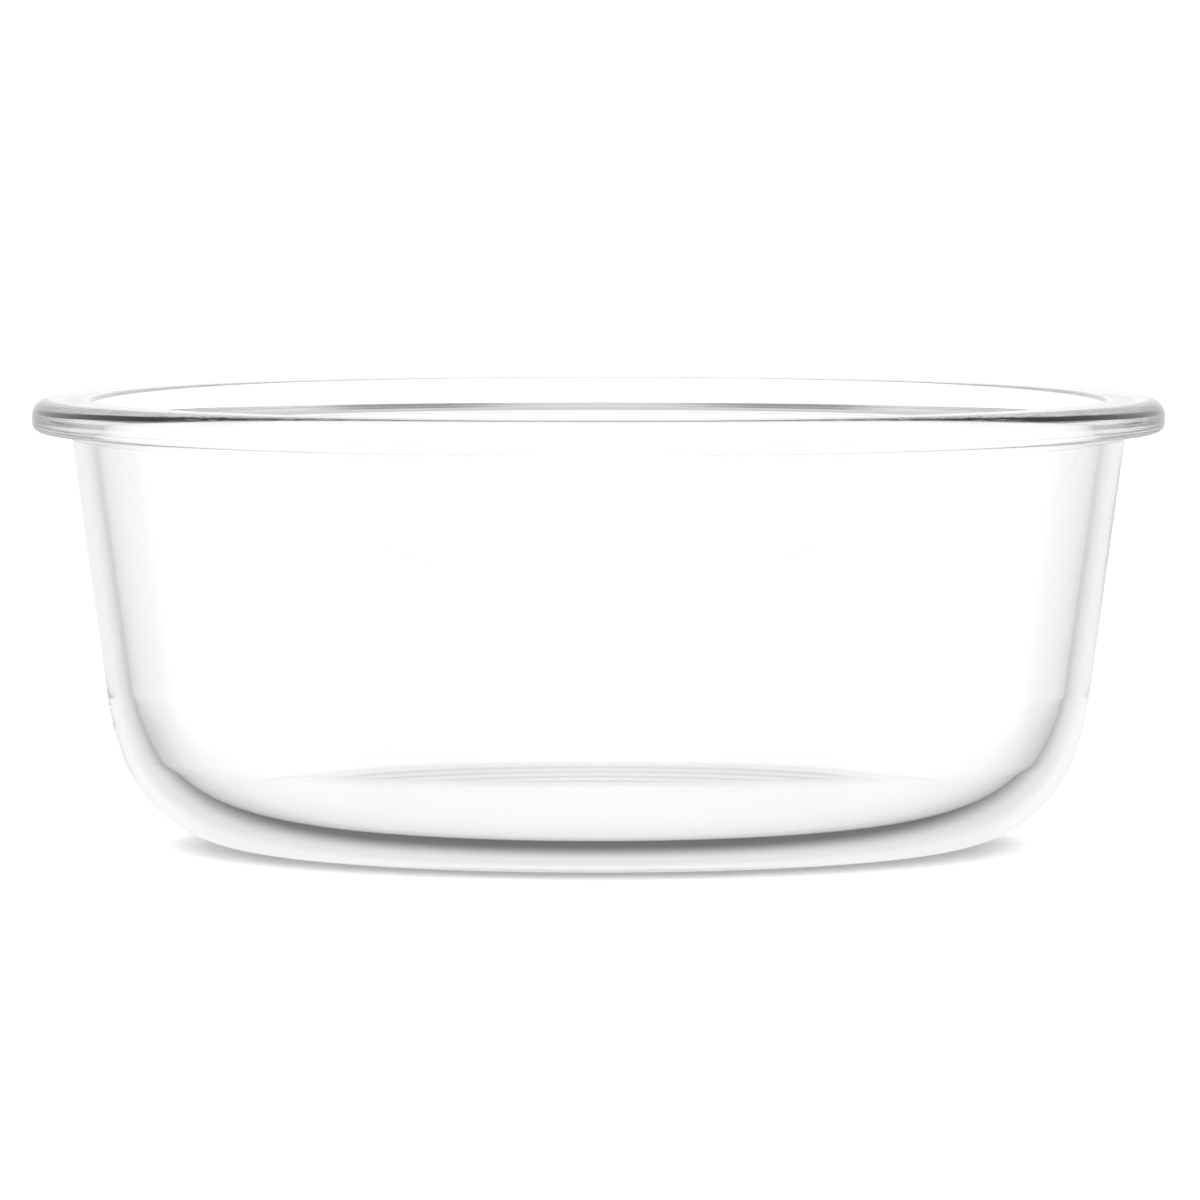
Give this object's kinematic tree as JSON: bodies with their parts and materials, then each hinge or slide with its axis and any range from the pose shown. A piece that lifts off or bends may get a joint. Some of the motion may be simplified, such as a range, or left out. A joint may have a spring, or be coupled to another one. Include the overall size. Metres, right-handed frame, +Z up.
{
  "type": "glass storage container",
  "caption": "Round clear pressed-glass food storage bowl, open at the top, with a tapered wall, rounded heel and a solid rim flange that a press-on lid can grip.",
  "frame": {"origin": "centre of the plane that the container stands on", "axes": "+Z up along the axis of revolution, out of the mouth; +X and +Y are any two radial directions, as the body is round"},
  "size_m": [0.17, 0.17, 0.067],
  "materials": {
    "clear_glass": "clear, fire-polished"
  },
  "bodies": {
    "root": {"glass_body": "clear_glass"}
  },
  "joints": []
}
